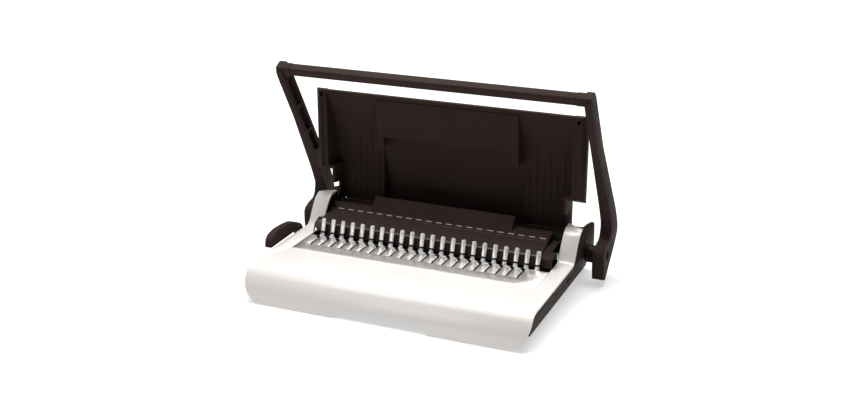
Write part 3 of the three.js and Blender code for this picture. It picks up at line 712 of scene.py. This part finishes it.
def punch_dashes():
    dashes = [slab(hole_x(i), DASH_HALF, DASH_FRONT, DASH_REAR, DASH_PROUD)
              for i in range(HOLES)]
    show(merge("punch_dashes", dashes), "base", "white_print")


def scale_ticks():
    ticks = [slab(hole_x(i) + k * TICK_STEP, TICK_HALF, TICK_FRONT, TICK_REAR, TICK_PROUD)
             for i in range(SCALE_START, HOLES) for k in (-1, 0, 1)]
    show(merge("scale_ticks", ticks), "base", "grey_plastic")


def painted_edge_highlight():
    """A painted highlight: a pale grey strip along the block's front edge, where the edge catches
    the light.
    """
    show(prism("painted_edge_highlight", HIGHLIGHT_LINE, "X", -HIGHLIGHT_X, HIGHLIGHT_X), "base", "grey_plastic")


punch_dashes()
scale_ticks()
painted_edge_highlight()

# ------------------------------------------------------------------ ribs inside the lid
# Each rib's place across the lid, and the height of its top.
RIB_TOPS = {108: 142, 117.4: 168, 126.7: 142, 135.7: 168, 144.7: 142, 154.3: 168}
RIB_FOOT, RIB_HALF = 79, 0.5
RIB_PROUD, RIB_SINK = 0.9, 0.6   # how far a rib stands out of the lid, and reaches into it
RIB_STEP = 4                     # between the points that follow the lid's curve
LID_FACE = 91.5                  # the lid's inner face where it is upright
LID_BEND, LID_CURVE = 146, 76    # where it starts to curve, and the height of the curve
LID_REACH, LID_POWER = 28.5, 1.55       # how far forward it curves, and how sharply


def lid_y(z):
    """The lid's inner face: upright at first, then curving forward."""
    rise = max(0.0, z - LID_BEND) / LID_CURVE
    return LID_FACE - LID_REACH * rise ** LID_POWER


def rib(x, top):
    """An upright rib that follows the lid's inner face and fades out at both ends."""
    bends = [RIB_FOOT + 2, *range(LID_BEND, top - 8, RIB_STEP), top - 6]
    ring = [(lid_y(z) + RIB_SINK, z) for z in (top, *bends[::-1], RIB_FOOT)]
    ring.append((lid_y(RIB_FOOT) - RIB_PROUD * 0.3, RIB_FOOT))
    ring += [(lid_y(z) - RIB_PROUD, z) for z in bends]
    ring.append((lid_y(top) - RIB_PROUD * 0.2, top))
    return prism("rib", ring, "X", x - RIB_HALF, x + RIB_HALF)


def lid_ribs():
    ribs = [rib(side * x, top) for side in (-1, 1) for x, top in RIB_TOPS.items()]
    show(soften(merge("lid_ribs", ribs), 0.2, segments=2), "lid", "dark_plastic")


# ------------------------------------------------------------------ painted shade: dark strips in the gaps below the lid's foot
SIDE_GAP_SHADE = {"x": (104.2, 161), "y": (92, 94.1), "z": (64.3, 66.4)}
POCKET_GAP_SHADE = {"x": (-102.4, 102.4), "y": (100.6, 105.2), "z": (64.2, 66)}


def lid_gap_shade():
    """Painted shade: a dark strip under the lid's pocket, and one on each side of it, closing gaps
    where only shade shows.
    """
    right, left = SIDE_GAP_SHADE["x"], (-SIDE_GAP_SHADE["x"][1], -SIDE_GAP_SHADE["x"][0])
    strips = [block("gap_shade", *x, *SIDE_GAP_SHADE["y"], *SIDE_GAP_SHADE["z"]) for x in (right, left)]
    strips.append(block("gap_shade", *POCKET_GAP_SHADE["x"], *POCKET_GAP_SHADE["y"], *POCKET_GAP_SHADE["z"]))
    show(soften(merge("lid_gap_shade", strips), 0.2, segments=2), "lid", "dark_plastic")


lid_ribs()
lid_gap_shade()

# ------------------------------------------------------------------ floor and lights
FLOOR_X, FLOOR_FRONT, FLOOR_REAR = 6, -6, 12
FLOOR_GLOW = 0.54                # keeps the floor white while its bounce on the machine is weak
WORLD_GLOW = 0.10


def stage():
    bm = bmesh.new()
    for x, y in ((-FLOOR_X, FLOOR_FRONT), (FLOOR_X, FLOOR_FRONT), (FLOOR_X, FLOOR_REAR),
                 (-FLOOR_X, FLOOR_REAR)):
        bm.verts.new((x, y, 0))
    bm.faces.new(bm.verts)
    floor = new_object("floor", bm)
    s = Shading("floor")
    s.put(Specular_IOR_Level=0.0, Roughness=0.9, Emission_Strength=FLOOR_GLOW)
    tone = s.noise(scale=3, detail=2)
    s.drive("Base Color", s.blend(tone, (0.36, 0.36, 0.36), (0.38, 0.38, 0.38)))
    s.drive("Emission Color", s.blend(tone, (0.99, 0.99, 0.99), (1.0, 1.0, 1.0)))
    floor.data.materials.append(s.material)


def area_light(name, place, aim, size, power):
    data = bpy.data.lights.new(name, "AREA")
    data.shape = "RECTANGLE"
    data.size, data.size_y = size
    data.energy = power
    light = placed(name, data)
    light.location = place
    light.rotation_euler = (Vector(aim) - Vector(place)).to_track_quat("-Z", "Y").to_euler()


def lights():
    world = bpy.data.worlds.new("studio")
    world.use_nodes = True
    background = world.node_tree.nodes["Background"]
    background.inputs["Color"].default_value = (1, 1, 1, 1)
    background.inputs["Strength"].default_value = WORLD_GLOW
    bpy.context.scene.world = world
    area_light("top", place=(-0.3, 0.7, 3.8), aim=(0, 0, 0), size=(3.4, 2.6), power=370)
    area_light("key", place=(-1.2, -1.4, 2.1), aim=(0, 0, 0.1), size=(1.4, 1.4), power=7)
    area_light("front", place=(-0.95, -2.2, 0.72), aim=(0, 0, 0.1), size=(0.9, 0.6), power=4)


stage()
lights()
bpy.context.scene.view_settings.view_transform = "Standard"
